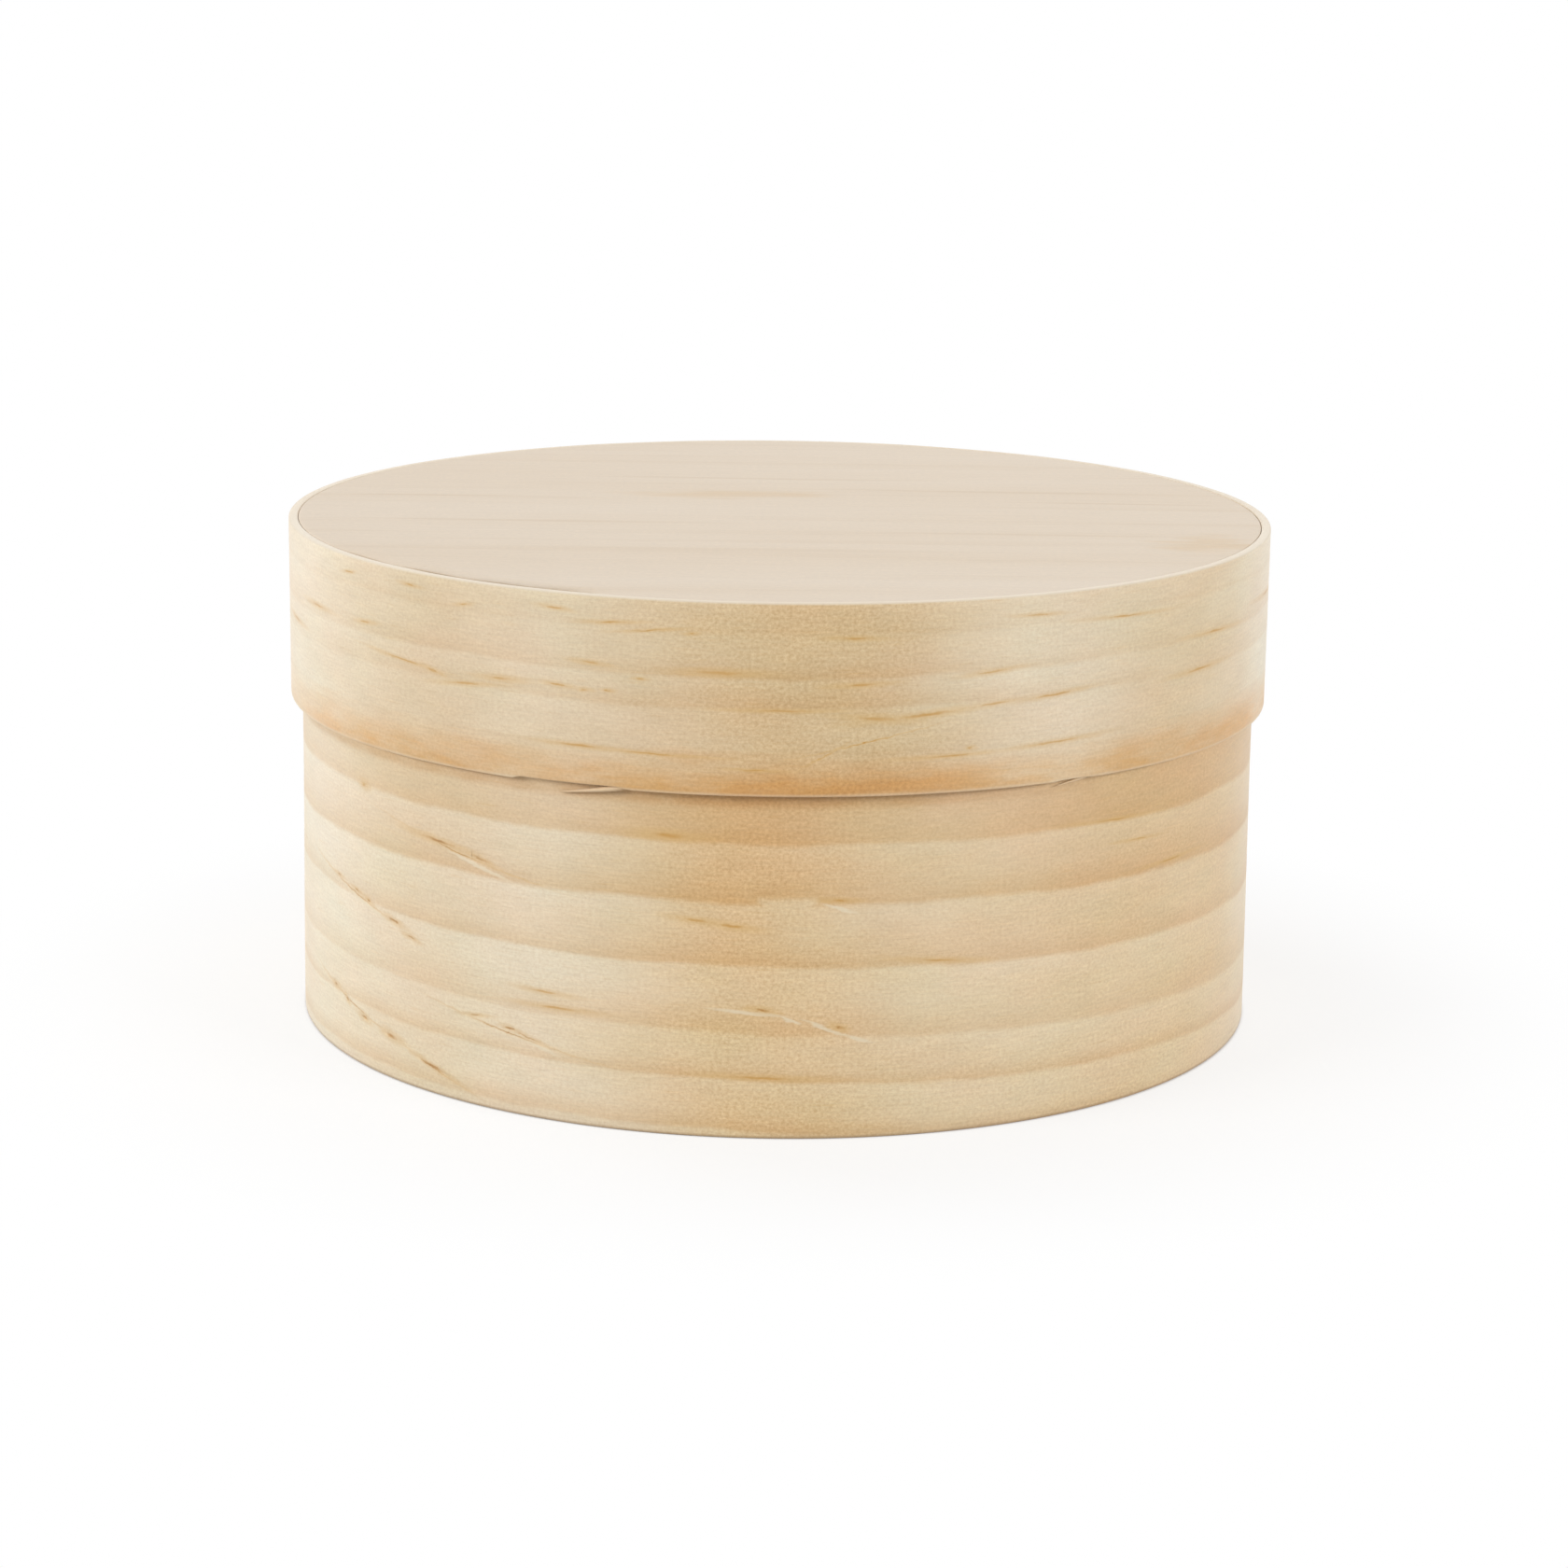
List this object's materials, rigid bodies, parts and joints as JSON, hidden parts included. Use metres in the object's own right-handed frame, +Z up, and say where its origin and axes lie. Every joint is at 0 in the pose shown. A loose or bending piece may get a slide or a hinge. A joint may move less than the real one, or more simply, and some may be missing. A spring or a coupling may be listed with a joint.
{
  "type": "round bentwood box",
  "caption": "Round lidded box of thin pine strips bent into hoops, with a disc glued into each; the lid slips over the body and lifts straight off.",
  "frame": {"origin": "centre of the underside, on the surface that the box stands on", "axes": "+Z up along the axis of the hoops, out through the lid; the scarf laps are on the +Y side, and -Y is the side that the picture shows"},
  "size_m": [0.15, 0.15, 0.0765],
  "materials": {
    "hoop_pine": "bare sanded pine strip, growth rings running round the hoop, warm yellow",
    "disc_pine": "bare sanded pine board, fine straight grain, paler and pinker than the strips"
  },
  "bodies": {
    "base": {"body_hoop": "hoop_pine", "bottom_disc": "disc_pine"},
    "lid": {"lid_hoop": "hoop_pine", "lid_disc": "disc_pine"}
  },
  "joints": [
    {"name": "lid_lift", "type": "slide", "parent": "base", "child": "lid", "axis": [0, 0, 1], "range_m": [0, 0.12]}
  ]
}
